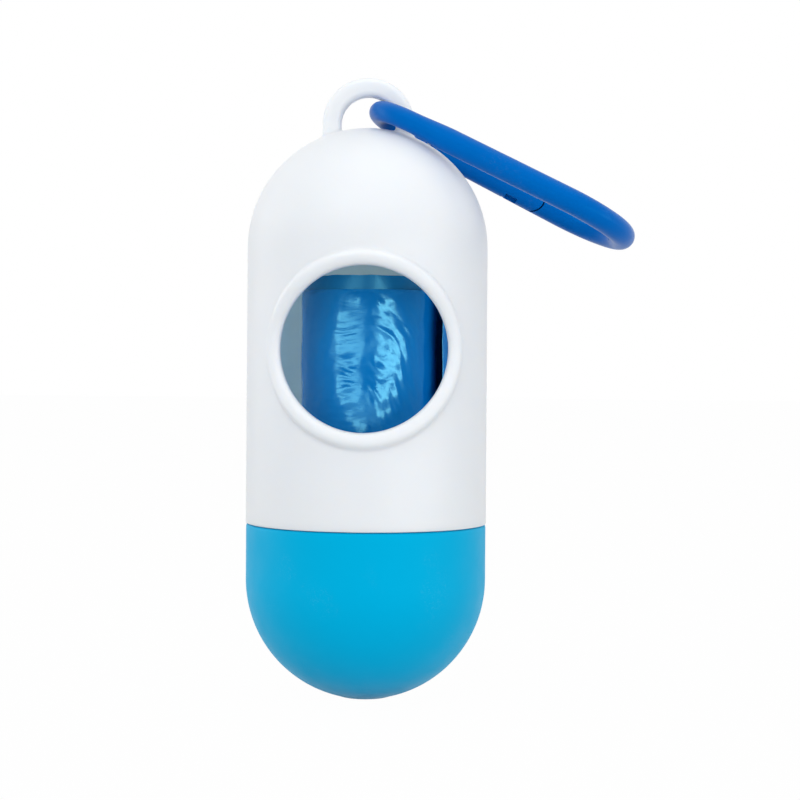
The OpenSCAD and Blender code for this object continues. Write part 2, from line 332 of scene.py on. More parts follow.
def moulded(name, colour, tone, roughness, peel, tint, ior=1.45, depth=None):
    """Moulded plastic: slightly uneven in colour and gloss, rippled by its tool and rubbed in
    use. A depth makes it let light in that far."""
    material, tree, shader = new_finish(name, {"IOR": ior, "Specular Tint": (*tint, 1)})
    if depth:
        shader.inputs["Subsurface Weight"].default_value = 1.0
        shader.inputs["Subsurface Radius"].default_value = (0.9, 1.0, 1.1)
        shader.inputs["Subsurface Scale"].default_value = depth
    place = tree.nodes.new("ShaderNodeTexCoord").outputs["Object"]
    shade = dyed(tree, noise(tree, place, 60, 3), (*colour, 1), (*(c * tone for c in colour), 1))
    handled = between(tree, noise(tree, place, 110, 2), (0.56, 0.68), (0, 1))
    scratches = noise(tree, place, 1500, 5, Roughness=0.8, Distortion=1.5)
    scratches = between(tree, scratches, (0.52, 0.66), (0, 0.2))
    worn = (*(0.85 * c + 0.1 for c in colour), 1)
    scuffed = dyed(tree, maths(tree, "MULTIPLY", handled, scratches), shade, worn)
    gloss = between(tree, noise(tree, place, 240, 4), (0.3, 0.7),
                    (roughness - 0.05, roughness + 0.05))
    surfaced(tree, shader, scuffed, gloss, noise(tree, place, 1100, 2), 0.5, peel)
    return material


def on_case(across, z, height):
    """A point over the case's straight side, from its unrolled place and its height above it."""
    turn = across / case_r
    out = case_r + height
    return np.stack([out * np.sin(turn), -out * np.cos(turn), port_z + z], axis=-1)


# The turned form: one outline from the inner pole down to the rim and up to the outer pole
columns = 192
patch_columns = (66, 126)
patch_rows = 52
dome_rows = 26
patch_half = dome_z - port_z
straight = np.linspace(port_z - patch_half, port_z + patch_half, patch_rows + 1)
skirt = np.linspace(seam_z + rim_bevel, port_z - patch_half, 8)[:-1]
rise = np.radians(np.linspace(0, 90, dome_rows + 1))[1:]
inner_wall = [(bore_r, z) for z in (*skirt, *straight)]
inner_wall += [(bore_r * math.cos(a), dome_z + bore_r * math.sin(a)) for a in rise]
outer_wall = [(case_r, z) for z in (*skirt, *straight)]
outer_wall += [(case_r * math.cos(a), dome_z + case_r * math.sin(a)) for a in rise]
inner_rim = [(bore_r, seam_z + bore_bevel), (bore_r + bore_bevel, seam_z)]
outer_rim = [(case_r - rim_bevel * (1 - math.sin(a)), seam_z + rim_bevel * (1 - math.cos(a)))
             for a in np.radians(np.linspace(0, 80, 5))]
outline = inner_wall[::-1] + inner_rim + outer_rim + outer_wall
turns = np.radians(np.linspace(-180, 180, columns, endpoint=False))
lathe = np.array([[(r * math.sin(t), -r * math.cos(t), z) for t in turns] for r, z in outline])
inner_first = dome_rows
outer_first = len(outline) - dome_rows - patch_rows - 1


def in_patch(i, j):
    """True for the lathe's quads in front, inside and outside, that the outlet's rings replace."""
    beside = patch_columns[0] <= j < patch_columns[1]
    return beside and any(first <= i < first + patch_rows for first in (inner_first, outer_first))


shell_points, shell_faces = [], []
add_grid(shell_points, shell_faces, lathe, skip=in_patch)

# The outlet: rings from the patch's edge over the bead and through the wall
edge = math.radians(360 / columns * (patch_columns[1] - patch_columns[0]) / 2)
along = np.linspace(-edge, edge, patch_columns[1] - patch_columns[0] + 1)
upward = straight - port_z
border = np.array([(t, upward[0]) for t in along[:-1]] + [(edge, z) for z in upward[:-1]]
                  + [(t, upward[-1]) for t in along[:0:-1]] + [(-edge, z) for z in upward[:0:-1]])
compass = np.arctan2(border[:, 1], case_r * np.sin(border[:, 0]))
bead_path = port_r + bead_lip
path_turn = np.arcsin(bead_path * np.cos(compass) / case_r)
path = np.stack([case_r * path_turn, bead_path * np.sin(compass)], axis=-1)
path_slope = np.stack([-bead_path * np.sin(compass) / np.cos(path_turn),
                       bead_path * np.cos(compass)], axis=-1)
aside = np.stack([path_slope[:, 1], -path_slope[:, 0]], axis=-1)
aside /= np.linalg.norm(aside, axis=1, keepdims=True)
foot_out = math.sqrt(bead_r ** 2 + 2 * bead_r * bead_foot)
foot_angle = math.atan2(bead_foot, foot_out)
wall_angle = math.pi + np.arctan2(
    np.sin(path_turn) * np.cos(compass),
    aside[:, 0] * np.cos(path_turn) * np.cos(compass) + aside[:, 1] * np.sin(compass))
flat_border = np.stack([case_r * border[:, 0], border[:, 1]], axis=-1)
foot_line = path + foot_out * aside
rings = []
for share in np.linspace(0, 1, 8):
    spot = (1 - share) * flat_border + share * foot_line
    rings.append(on_case(spot[:, 0], spot[:, 1], 0.0))
for angle in np.linspace(1.5 * math.pi, math.pi + foot_angle, 6)[1:]:
    spot = path + (foot_out + bead_foot * math.cos(angle)) * aside
    rings.append(on_case(spot[:, 0], spot[:, 1], bead_foot * (1 + math.sin(angle))))
for share in np.linspace(0, 1, 15)[1:]:
    angle = foot_angle + share * (wall_angle - foot_angle)
    reach = np.where(np.cos(angle) > 0, bead_r, bead_lip)
    spot = path + (reach * np.cos(angle))[:, None] * aside
    rings.append(on_case(spot[:, 0], spot[:, 1], bead_r * np.sin(angle)))
hole = rings[-1]
inner_y = -np.sqrt(bore_r ** 2 - hole[:, 0] ** 2)
for share in np.linspace(0, 1, 4)[1:]:
    wall = hole.copy()
    wall[:, 1] += share * (inner_y - hole[:, 1])
    rings.append(wall)
hole_turn = np.arcsin(hole[:, 0] / bore_r)
for share in np.linspace(0, 1, 6)[1:]:
    turn = (1 - share) * hole_turn + share * border[:, 0]
    level = (1 - share) * (hole[:, 2] - port_z) + share * border[:, 1] + port_z
    rings.append(np.stack([bore_r * np.sin(turn), -bore_r * np.cos(turn), level], axis=-1))
add_grid(shell_points, shell_faces, np.array(rings))

# The hang loop: an arch on two legs, whose feet flare into the dome
rod_r = (loop_top - eye_r) / 2
round_the_rod = np.radians(np.arange(0, 360, 10) + 5)
rod_out = np.stack([np.cos(round_the_rod), np.sin(round_the_rod)], axis=-1)
rod_flats = (rod_r - loop_corner, loop_depth / 2 - loop_corner)
rod_section = loop_corner * rod_out + np.sign(rod_out) * rod_flats
loop_r = eye_r + rod_r


def leg_ring(side, level, spread=0.0, over_dome=None):
    """One ring of a leg, level or at a height over the dome, and spread by its flare."""
    section = rod_section + spread * rod_out
    x = side * (loop_r + section[:, 0])
    y = section[:, 1]
    z = np.full(len(x), level)
    if over_dome is not None:
        z = dome_z + np.sqrt(case_r ** 2 - x ** 2 - y ** 2) + over_dome
    return np.stack([x, y, z], axis=-1)


leg_top = leg_ring(1, 0)
leg_low = leg_ring(1, 0, 0, loop_foot)
leg = [leg_top + share * (leg_low - leg_top) for share in np.linspace(0, 1, 4)]
for angle in np.radians(np.linspace(0, 90, 7))[1:]:
    flare, over_dome = loop_foot * (1 - math.cos(angle)), loop_foot * (1 - math.sin(angle))
    leg.append(leg_ring(1, 0, flare, over_dome))
leg.append(leg_ring(1, 0, loop_foot, -loop_sink))
arch = [np.stack([(loop_r + rod_section[:, 0]) * math.cos(a), rod_section[:, 1],
                  (loop_r + rod_section[:, 0]) * math.sin(a)], axis=-1)
        for a in np.radians(np.linspace(0, 180, 49))[1:-1]]
other_leg = [ring * (-1, 1, 1) for ring in leg]
foot_cap = [np.repeat(ring.mean(0)[None], len(ring), 0) for ring in (leg[-1], other_leg[-1])]
loop_rings = [foot_cap[0]] + leg[::-1] + arch + other_leg + [foot_cap[1]]
loop_points, loop_faces = [], []
add_grid(loop_points, loop_faces, np.array(loop_rings))


def new_form(name, sizes):
    """A Geometry Nodes tree with named inputs, its input node and a call that closes it."""
    tree = bpy.data.node_groups.new(name, "GeometryNodeTree")
    tree.interface.new_socket(name="Geometry", in_out="OUTPUT", socket_type="NodeSocketGeometry")
    for label, kind in sizes.items():
        tree.interface.new_socket(name=label, in_out="INPUT", socket_type="NodeSocket" + kind)
    tree.interface.new_socket(name="Material", in_out="INPUT", socket_type="NodeSocketMaterial")
    given = tree.nodes.new("NodeGroupInput").outputs

    def close(geometry):
        real = add_node(tree, "GeometryNodeRealizeInstances", {"Geometry": geometry})
        made = add_node(tree, "GeometryNodeSetMaterial",
                        {"Geometry": real.outputs[0], "Material": given["Material"]})
        add_node(tree, "NodeGroupOutput", {"Geometry": made.outputs[0]})

    return tree, given, close


def grown(tree, material, **sizes):
    """The mesh that a tree makes of the given sizes."""
    holder = bpy.data.objects.new(tree.name, bpy.data.meshes.new(tree.name))
    bpy.context.scene.collection.objects.link(holder)
    modifier = holder.modifiers.new("form", "NODES")
    modifier.node_group = tree
    for socket in tree.interface.items_tree:
        if socket.in_out == "INPUT":
            label = socket.name.lower().replace(" ", "_")
            modifier[socket.identifier] = material if label == "material" else sizes[label]
    ready = holder.evaluated_get(bpy.context.evaluated_depsgraph_get())
    mesh = bpy.data.meshes.new_from_object(ready)
    bpy.data.objects.remove(holder)
    return mesh


# A thread ridge: a trapezoid swept along a helix, fading into its wall at both ends
ridge_form, given, close = new_form("thread_ridge", {
    "Wall Radius": "Float", "Crest Depth": "Float", "Turns": "Float", "Lead": "Float",
    "Foot Width": "Float", "Crest Width": "Float", "Sunk": "Float", "Facing": "Float",
    "Start Z": "Float", "Start Turn": "Float"})
helix = add_node(ridge_form, "GeometryNodeCurveSpiral", {
    "Resolution": 96, "Rotations": given["Turns"], "Start Radius": given["Wall Radius"],
    "End Radius": given["Wall Radius"],
    "Height": maths(ridge_form, "MULTIPLY", given["Turns"], given["Lead"]), "Reverse": True})
helix = add_node(ridge_form, "GeometryNodeSetCurveNormal", {"Curve": helix.outputs[0]},
                 mode="Z_UP")
run = add_node(ridge_form, "GeometryNodeSplineParameter").outputs["Factor"]
from_middle = maths(ridge_form, "ABSOLUTE", maths(ridge_form, "SUBTRACT", run, 0.5))
fade = add_node(ridge_form, "ShaderNodeMapRange", {
    "Value": from_middle, "From Min": 0.42, "From Max": 0.5, "To Min": 1,
    "To Max": 0.02}, interpolation_type="SMOOTHSTEP")
ridge = add_node(ridge_form, "GeometryNodeCurvePrimitiveQuadrilateral", {
    "Height": maths(ridge_form, "ADD", given["Crest Depth"], given["Sunk"]),
    "Bottom Width": given["Foot Width"], "Top Width": given["Crest Width"], "Offset": 0},
    mode="TRAPEZOID")
middle = maths(ridge_form, "SUBTRACT", given["Crest Depth"], given["Sunk"])
middle = maths(ridge_form, "MULTIPLY", middle, 0.5)
shift = add_node(ridge_form, "ShaderNodeCombineXYZ", {"X": middle})
ridge = add_node(ridge_form, "GeometryNodeTransform", {
    "Geometry": ridge.outputs[0], "Translation": shift.outputs[0],
    "Rotation": (0, 0, -math.pi / 2)})
facing = add_node(ridge_form, "ShaderNodeCombineXYZ", {"X": given["Facing"], "Y": 1, "Z": 1})
ridge = add_node(ridge_form, "GeometryNodeTransform",
                 {"Geometry": ridge.outputs[0], "Scale": facing.outputs[0]})
swept = add_node(ridge_form, "GeometryNodeCurveToMesh", {
    "Curve": helix.outputs[0], "Profile Curve": ridge.outputs[0], "Scale": fade.outputs[0],
    "Fill Caps": True})
lift = add_node(ridge_form, "ShaderNodeCombineXYZ", {"Z": given["Start Z"]})
start = add_node(ridge_form, "ShaderNodeCombineXYZ", {"Z": given["Start Turn"]})
placed = add_node(ridge_form, "GeometryNodeTransform", {
    "Geometry": swept.outputs[0], "Translation": lift.outputs[0], "Rotation": start.outputs[0]})
close(placed.outputs[0])

shell_white = moulded("white_plastic", (0.85, 0.865, 0.885), tone=0.975, roughness=0.42,
                      peel=0.012 * mm, tint=(1, 1, 1), depth=1 * mm)
# The case's inner faces are the same white plastic with painted blue light: a bluish tint stands
# in for light thrown back from the blue film, and a deeper subsurface lets more light through than
# on the outside.
shell_inside_painted_blue_light = moulded("white_plastic_inside", (0.68, 0.88, 1.0), tone=0.975,
                            roughness=0.42, peel=0.012 * mm, tint=(1, 1, 1), depth=5 * mm)
inside_ridge = grown(ridge_form, shell_white, wall_radius=bore_r, crest_depth=thread_depth,
                     turns=thread_turns, lead=thread_lead, foot_width=ridge_foot,
                     crest_width=ridge_crest, sunk=ridge_sink, facing=-1.0, start_z=thread_z,
                     start_turn=0.0)


def cut(mesh, cutter, operation="DIFFERENCE"):
    """The result of one exact boolean of two meshes."""
    pair = [bpy.data.objects.new("stock", mesh), bpy.data.objects.new("cutter", cutter)]
    for item in pair:
        bpy.context.scene.collection.objects.link(item)
    boolean = pair[0].modifiers.new("cut", "BOOLEAN")
    boolean.object = pair[1]
    boolean.operation = operation
    boolean.solver = "EXACT"
    ready = pair[0].evaluated_get(bpy.context.evaluated_depsgraph_get())
    result = bpy.data.meshes.new_from_object(ready)
    for item in pair:
        bpy.data.objects.remove(item)
    return result


shell_mesh = cleaned(joined("upper_shell_moulding", [(shell_points, shell_faces)]))
shell_mesh = cut(shell_mesh, cleaned(joined("loop", [(loop_points, loop_faces)])), "UNION")
shell_mesh = cut(shell_mesh, cleaned(inside_ridge), "UNION")
inside_r = bore_r + 0.05 * mm
# Faces inside the bore take the plastic with painted blue light.
finished("upper_shell_moulding", shell_mesh, shell_white, "case",
         ["upper_shell"], inside=shell_inside_painted_blue_light, within=inside_r)

# ---------------------------------------------------------------------------
# Lower cap: one moulding in cyan plastic with a round bottom. Its neck stands
# inside the shell and carries the outside thread.
# ---------------------------------------------------------------------------
cap_low, cap_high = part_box("lower_cap")
cap_r = cap_high[0]
neck_top = cap_high[2]
foot_z = cap_low[2]
cap_wall = 1.6 * mm
cap_side_h = 9.3 * mm
seam_gap = 0.1 * mm
lip_round = 0.5 * mm
thread_gap = 0.2 * mm
neck_wall = 1.4 * mm
neck_round = 0.25 * mm
cap_top = neck_top - neck_h - seam_gap
bowl_z = cap_top - cap_side_h
bowl_r = cap_r - cap_wall
neck_r = bore_r - thread_depth - thread_gap
neck_bore_r = neck_r - neck_wall
foot_r = math.sqrt(cap_r ** 2 - (bowl_z - foot_z) ** 2)
foot_round = 1.2 * mm
foot_rise = 0.10 * mm
foot_blend = 4


def turned(outline, count=192):
    """A closed form turned about the case's axis from its outline of radius and height."""
    angles = np.radians(np.linspace(0, 360, count, endpoint=False))
    rows = np.array([[(r * math.cos(t), r * math.sin(t), z) for t in angles] for r, z in outline])
    points, faces = [], []
    add_grid(points, faces, rows)
    return points, faces


def arc(centre_r, centre_z, radius, start, end, count):
    """Points of an arc in an outline, from one angle to another in degrees."""
    return [(centre_r + radius * math.cos(a), centre_z + radius * math.sin(a))
            for a in np.radians(np.linspace(start, end, count))]


def rounded_corner(r, z, radius, start, end):
    """A small rounded corner of an outline; its sharp point is at r and z."""
    mid = math.radians((start + end) / 2)
    reach = radius * math.sqrt(2)
    return arc(r - reach * math.cos(mid), z - reach * math.sin(mid), radius, start, end, 5)


# Up the inside of the bowl and the neck, over the neck's end and down the outside
foot_turn = math.degrees(math.atan2(foot_z - bowl_z, foot_r))
cap_outline = arc(0, bowl_z, bowl_r, -90, 0, 28)
cap_outline += [(bowl_r, z) for z in np.linspace(bowl_z, cap_top - cap_wall, 6)[1:]]
cap_outline += [(neck_bore_r, cap_top - cap_wall)]
cap_outline += [(neck_bore_r, z) for z in np.linspace(cap_top, neck_top - 1.2 * neck_round, 4)]
cap_outline += rounded_corner(neck_bore_r, neck_top, neck_round, 180, 90)
cap_outline += rounded_corner(neck_r, neck_top, neck_round, 90, 0)
cap_outline += [(neck_r, z) for z in np.linspace(neck_top - 2.4 * neck_round, cap_top, 4)]
cap_outline += rounded_corner(cap_r, cap_top, lip_round, 90, 0)
cap_outline += [(cap_r, z) for z in np.linspace(cap_top - lip_round, bowl_z, 8)[1:]]
cap_outline += arc(0, bowl_z, cap_r, 0, foot_turn + foot_blend, 40)[1:]
cap_outline += [(foot_r + foot_round * (1 - s), foot_z + foot_rise * (1 - s) ** 2)
                for s in (0.6, 0.8)]
cap_outline += [(foot_r * s, foot_z) for s in (0.8, 0.4, 0.0)]
cap_cyan = moulded("cyan_plastic", (0.0, 0.43, 0.73), tone=0.96, roughness=0.5,
                   peel=0.012 * mm, tint=(0.02, 0.75, 1.0), ior=1.3)
outside_ridge = grown(ridge_form, cap_cyan, wall_radius=neck_r, crest_depth=thread_depth,
                      turns=thread_turns, lead=thread_lead, foot_width=ridge_foot,
                      crest_width=ridge_crest, sunk=ridge_sink, facing=1.0, start_z=thread_z,
                      start_turn=math.pi)
cap_mesh = cut(cleaned(joined("lower_cap_moulding", [turned(cap_outline)])),
               cleaned(outside_ridge), "UNION")
finished("lower_cap_moulding", cap_mesh, cap_cyan, "cap", ["lower_cap"])

# ---------------------------------------------------------------------------
# Carabiner ring: a rod of moulded blue plastic, with a narrow end in the loop,
# a wide end, a fork for the gate's pin and a half-lapped nose at the gate's tip.
# ---------------------------------------------------------------------------
ring_mount = next(m for m in frame["record"]["mounts"] if m["name"] == "carabiner_ring")
link_joint = next(j for j in frame["joints"] if j["name"] == "carabiner_swing")
ring_l = 46.1 * mm
narrow_r = 7.5 * mm
wide_r = 10.3 * mm
narrow_d = 3.5 * mm
limb_d = 4.1 * mm
taper_l = 6 * mm
pivot_s = 4.2 * mm
tip_s = 24.9 * mm
lap_l = 6.4 * mm
lap_s = tip_s - lap_l
gate_gap = 0.25 * mm
pin_d = 1 * mm
knuckle_t = 1.5 * mm
knuckle_r = 1.6 * mm
cheek_gap = 0.1 * mm
slot_t = knuckle_t + 2 * cheek_gap
slot_r = knuckle_r + gate_gap
limb_r = limb_d / 2
limb_a = math.asin((wide_r - narrow_r) / (ring_l - narrow_r - wide_r))
ring_up = Vector(ring_mount["axis"])
ring_along = Vector((ring_up.z, 0, -ring_up.x)).normalized()
ring_across = ring_up.cross(ring_along)
ring_place = Matrix((ring_along, ring_across, ring_up)).transposed().to_4x4()
ring_place.translation = Vector(link_joint["pos_m"])
limb_start = Vector((narrow_r - narrow_r * math.sin(limb_a), narrow_r * math.cos(limb_a), 0))
limb_place = Matrix.Translation(limb_start) @ Matrix.Rotation(limb_a, 4, "Z")

# The rod follows two arcs and the straight limbs between them, and has a fine parting ridge
rod_form, given, close = new_form("carabiner_rod", {
    "Length": "Float", "Narrow Radius": "Float", "Wide Radius": "Float", "Rod Diameter": "Float",
    "Narrow Share": "Float", "Limb Angle": "Float", "Taper Start": "Float", "Taper End": "Float",
    "Step": "Float", "Ridge": "Float", "Ridge Half": "Float"})


def bend(centre, radius, start, sweep):
    """An arc of the rod's path about a centre on the ring's own axis."""
    curve = add_node(rod_form, "GeometryNodeCurveArc", {
        "Resolution": 64, "Radius": radius, "Start Angle": start, "Sweep Angle": sweep})
    place = add_node(rod_form, "ShaderNodeCombineXYZ", {"X": centre})
    return add_node(rod_form, "GeometryNodeTransform", {
        "Geometry": curve.outputs[0], "Translation": place.outputs[0]}).outputs[0]


twice = maths(rod_form, "MULTIPLY", given["Limb Angle"], 2.0)
narrow_bend = bend(given["Narrow Radius"], given["Narrow Radius"],
                   maths(rod_form, "ADD", given["Limb Angle"], math.pi / 2),
                   maths(rod_form, "SUBTRACT", math.pi, twice))
wide_bend = bend(maths(rod_form, "SUBTRACT", given["Length"], given["Wide Radius"]),
                 given["Wide Radius"],
                 maths(rod_form, "SUBTRACT", -math.pi / 2, given["Limb Angle"]),
                 maths(rod_form, "ADD", math.pi, twice))
bends = add_node(rod_form, "GeometryNodeJoinGeometry", {"Geometry": narrow_bend})
rod_form.links.new(wide_bend, bends.inputs[0])
marks = add_node(rod_form, "GeometryNodeCurveToPoints", {"Curve": bends.outputs[0]},
                 mode="EVALUATED")
belt = add_node(rod_form, "GeometryNodePointsToCurves", {"Points": marks.outputs["Points"]})
belt = add_node(rod_form, "GeometryNodeSetSplineCyclic",
                {"Geometry": belt.outputs[0], "Cyclic": True})
belt = add_node(rod_form, "GeometryNodeResampleCurve", {
    "Curve": belt.outputs[0], "Length": given["Step"]}, mode="LENGTH")
belt = add_node(rod_form, "GeometryNodeSetCurveNormal", {"Curve": belt.outputs[0]}, mode="Z_UP")
where = add_node(rod_form, "GeometryNodeInputPosition").outputs[0]
apart = add_node(rod_form, "ShaderNodeSeparateXYZ", {"Vector": where})
swell = add_node(rod_form, "ShaderNodeMapRange", {
    "Value": apart.outputs["X"], "From Min": given["Taper Start"], "From Max": given["Taper End"],
    "To Min": given["Narrow Share"], "To Max": 1.0}, interpolation_type="SMOOTHSTEP")
disc = add_node(rod_form, "GeometryNodeCurvePrimitiveCircle", {
    "Resolution": 48, "Radius": maths(rod_form, "MULTIPLY", given["Rod Diameter"], 0.5)})
off_line = maths(rod_form, "ABSOLUTE", apart.outputs["Y"])
on_ridge = maths(rod_form, "LESS_THAN", off_line, given["Ridge Half"])
ridge_grow = maths(rod_form, "MULTIPLY", on_ridge, given["Ridge"])
ridge_grow = add_node(rod_form, "ShaderNodeVectorMath", {0: where, "Scale": ridge_grow},
                      operation="SCALE")
disc = add_node(rod_form, "GeometryNodeSetPosition",
                {"Geometry": disc.outputs[0], "Offset": ridge_grow.outputs[0]})
swept = add_node(rod_form, "GeometryNodeCurveToMesh", {
    "Curve": belt.outputs[0], "Profile Curve": disc.outputs[0], "Scale": swell.outputs[0]})
close(swept.outputs[0])

ring_blue = moulded("blue_plastic", (0.0, 0.135, 0.53), tone=0.86, roughness=0.32,
                    peel=0.02 * mm, tint=(0.02, 0.7, 1.0), ior=1.25)
rod_mesh = grown(rod_form, ring_blue, length=ring_l, narrow_radius=narrow_r, wide_radius=wide_r,
                 rod_diameter=limb_d, narrow_share=narrow_d / limb_d, limb_angle=limb_a,
                 taper_start=0.8 * narrow_r, taper_end=narrow_r + taper_l, step=0.45 * mm,
                 ridge=0.012, ridge_half=0.02 * mm)


def slab(outline, flat, low, high):
    """A prism in the gate limb's own frame; its outline lies square to the axis named by flat."""
    form = bmesh.new()
    ends = []
    for level in (low, high):
        spots = [{"y": (a, level, b), "z": (a, b, level)}[flat] for a, b in outline]
        ends.append([form.verts.new(limb_place @ Vector(spot)) for spot in spots])
    form.faces.new(ends[0])
    form.faces.new(ends[1])
    for i in range(len(outline)):
        k = (i + 1) % len(outline)
        form.faces.new((ends[0][i], ends[0][k], ends[1][k], ends[1][i]))
    bmesh.ops.recalc_face_normals(form, faces=form.faces)
    mesh = bpy.data.meshes.new("slab")
    form.to_mesh(mesh)
    form.free()
    return mesh


past = 2 * limb_d


def tip_outline(grow, start):
    """Outline of the gate seen from inside the ring, up to its round tip."""
    half = limb_r + grow
    return [(start, -half)] + arc(tip_s - limb_r, 0, half, -90, 90, 25) + [(start, half)]


def pivot_outline(hub, end):
    """Outline from the pin's hub, a hollow round, along the limb to a square end."""
    return [(pivot_s, -past)] + arc(pivot_s, 0, hub, -90, 90, 25) + [
        (pivot_s, past), (end, past), (end, -past)]


def disc_outline(centre, radius, count=32):
    """A round outline about a point on the limb's own axis."""
    return [(centre + radius * math.cos(a), radius * math.sin(a))
            for a in np.radians(np.linspace(0, 360, count, endpoint=False))]


def box_outline(start, end, half):
    """A rectangle from one place along the limb to another."""
    return [(start, -half), (end, -half), (end, half), (start, half)]


body_mesh = cut(rod_mesh.copy(), slab(pivot_outline(limb_r, lap_s), "z", -past, past))
lap_cut_s = lap_s - 1 * mm
body_mesh = cut(body_mesh, slab(tip_outline(gate_gap, lap_cut_s), "y", -past, 0.0))
body_mesh = cut(body_mesh, slab(box_outline(pivot_s - slot_r, pivot_s + past / 2, past),
                                "z", -slot_t / 2, slot_t / 2))
body_mesh = cut(body_mesh, slab(disc_outline(pivot_s, pin_d / 2), "z", -past, past))
body_mesh.transform(ring_place)
finished("carabiner_ring", body_mesh, ring_blue, "clip", ["carabiner_body"], 30)

# ---------------------------------------------------------------------------
# Carabiner gate: a short moulded bar of the same blue plastic. Its knuckle turns
# on the pin between the fork's cheeks, and its tip lies inside the ring's nose.
# ---------------------------------------------------------------------------
shoulder_s = lap_s - 0.5 * mm
notch_l = 2.2 * mm
tongue_w = 2.6 * mm
pin_gap = 0.05 * mm
gate_block = cut(slab(pivot_outline(limb_r + gate_gap, shoulder_s), "z", -past, past),
                 slab(tip_outline(0.0, shoulder_s - gate_gap), "y", -past, -gate_gap), "UNION")
notch = box_outline(lap_s, lap_s + notch_l, past)
for side in (-1, 1):
    gate_block = cut(gate_block, slab(notch, "z", side * tongue_w / 2, side * past))
gate_mesh = cut(rod_mesh.copy(), gate_block, "INTERSECT")
knuckle_end = pivot_s + limb_r + 3 * gate_gap
knuckle = cut(slab(disc_outline(pivot_s, knuckle_r), "z", -knuckle_t / 2, knuckle_t / 2),
              slab(box_outline(pivot_s, knuckle_end, knuckle_r),
                   "z", -knuckle_t / 2, knuckle_t / 2), "UNION")
gate_mesh = cut(gate_mesh, knuckle, "UNION")
gate_mesh = cut(gate_mesh, slab(disc_outline(pivot_s, pin_d / 2 + pin_gap), "z", -past, past))
gate_mesh.transform(ring_place)
finished("carabiner_gate_bar", gate_mesh, ring_blue, "gate",
         ["carabiner_gate"], 30)
bpy.data.meshes.remove(rod_mesh)

# ---------------------------------------------------------------------------
# Gate pin and gate spring: a short steel pin pressed through the fork, and a fine
# steel wire, held in the ring, whose free end pushes the gate shut.
# ---------------------------------------------------------------------------
pin_round = 0.12 * mm
spring_d = 0.4 * mm
spring_round = 0.08 * mm
spring_gap = 0.15 * mm
spring_root = 2 * mm
spring_reach = 9 * mm
spring_side = -(pin_d + spring_d) / 2 - spring_gap
spring_start = pivot_s - slot_r - spring_root
spring_end = pivot_s + spring_reach


def bright_steel(name):
    """Drawn steel: fine streaks in its gloss."""
    material, tree, shader = new_finish(name, {
        "Metallic": 1.0, "Base Color": (0.56, 0.57, 0.58, 1)})
    place = tree.nodes.new("ShaderNodeTexCoord").outputs["Object"]
    streaks = noise(tree, place, 2600, 3)
    gloss = between(tree, streaks, (0, 1), (0.18, 0.42))
    surfaced(tree, shader, None, gloss, streaks, 0.3, 0.004 * mm)
    return material


def steel_rod(name, rod_r, low, high, round_end, steps=1):
    """A round rod about its own Z, with softened ends."""
    outline = [(0, low), (rod_r - round_end, low), (rod_r, low + round_end)]
    outline += [(rod_r, z) for z in np.linspace(low + round_end, high - round_end, steps + 1)[1:]]
    outline += [(rod_r - round_end, high), (0, high)]
    return joined(name, [turned(outline, 24)])


steel = bright_steel("steel")
pin_mesh = steel_rod("gate_pin_steel", pin_d / 2, -narrow_d / 2, narrow_d / 2, pin_round)
pin_mesh.transform(ring_place @ limb_place @ Matrix.Translation((pivot_s, 0, 0)))
finished("gate_pin_steel", pin_mesh, steel, "clip", ["gate_pin"])
wire_mesh = steel_rod("gate_spring_wire", spring_d / 2, spring_start, spring_end,
                      spring_round, steps=28)
wire_place = ring_place @ limb_place @ Matrix.Translation((0, spring_side, 0))
wire_mesh.transform(wire_place @ Matrix.Rotation(math.pi / 2, 4, "Y"))
wire = finished("gate_spring_wire", wire_mesh, steel, None, ["gate_spring"])
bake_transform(wire)

# ---------------------------------------------------------------------------
# Core tube: a cardboard tube, wound on the slant from strips of kraft paper,
# that the bags are rolled on. It stands in the middle of the roll.
# ---------------------------------------------------------------------------
core_low, core_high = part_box("core_tube")
core_r = core_high[0]
board_t = 1 * mm
core_bore_r = core_r - board_t
paper_pitch = 21 * mm
paper_seam = 0.09 * mm
paper_seam_w = 0.35 * mm
core_levels = np.linspace(core_low[2], core_high[2], 150)
core_turns = np.radians(np.linspace(0, 360, 96, endpoint=False))


def core_wall(radius, seam_side):
    """The tube's outer or inner face, with the helical joint between its strips."""
    rows = []
    for z in core_levels:
        off = (z / paper_pitch - core_turns / (2 * math.pi) + 0.5) % 1 - 0.5
        groove = seam_side * paper_seam * np.exp(-(off * paper_pitch / paper_seam_w) ** 2)
        rows.append(np.stack([(radius + groove) * np.cos(core_turns),
                              (radius + groove) * np.sin(core_turns),
                              np.full(len(core_turns), z)], axis=-1))
    return rows


def kraft_board(name):
    """Kraft paper: brown, with fibres along the strips and specks of darker pulp."""
    material, tree, shader = new_finish(name, {"Roughness": 0.86, "IOR": 1.4})
    place = tree.nodes.new("ShaderNodeTexCoord").outputs["Object"]
    laid = add_node(tree, "ShaderNodeMapping", {
        "Vector": place, "Rotation": (0, 0.5, 0), "Scale": (2600, 2600, 420)})
    fibres = noise(tree, laid.outputs[0], 1, 4)
    specks = add_node(tree, "ShaderNodeTexVoronoi", {"Vector": place, "Scale": 1500})
    speck = between(tree, specks.outputs["Distance"], (0.05, 0.2), (0.5, 1))
    shade = dyed(tree, fibres, (0.40, 0.27, 0.15, 1), (0.56, 0.40, 0.24, 1))
    dotted = dyed(tree, 1.0, shade, speck, blend_type="MULTIPLY")
    surfaced(tree, shader, dotted, None, fibres, 0.6, 0.03 * mm)
    return material


core_points, core_faces = [], []
core_rows = core_wall(core_bore_r, 1) + core_wall(core_r, -1)[::-1]
add_grid(core_points, core_faces, np.array(core_rows + core_rows[:1]))
finished("core_tube_board", joined("core_tube_board", [(core_points, core_faces)]),
         kraft_board("kraft_board"), "core", ["core_tube"], 50)

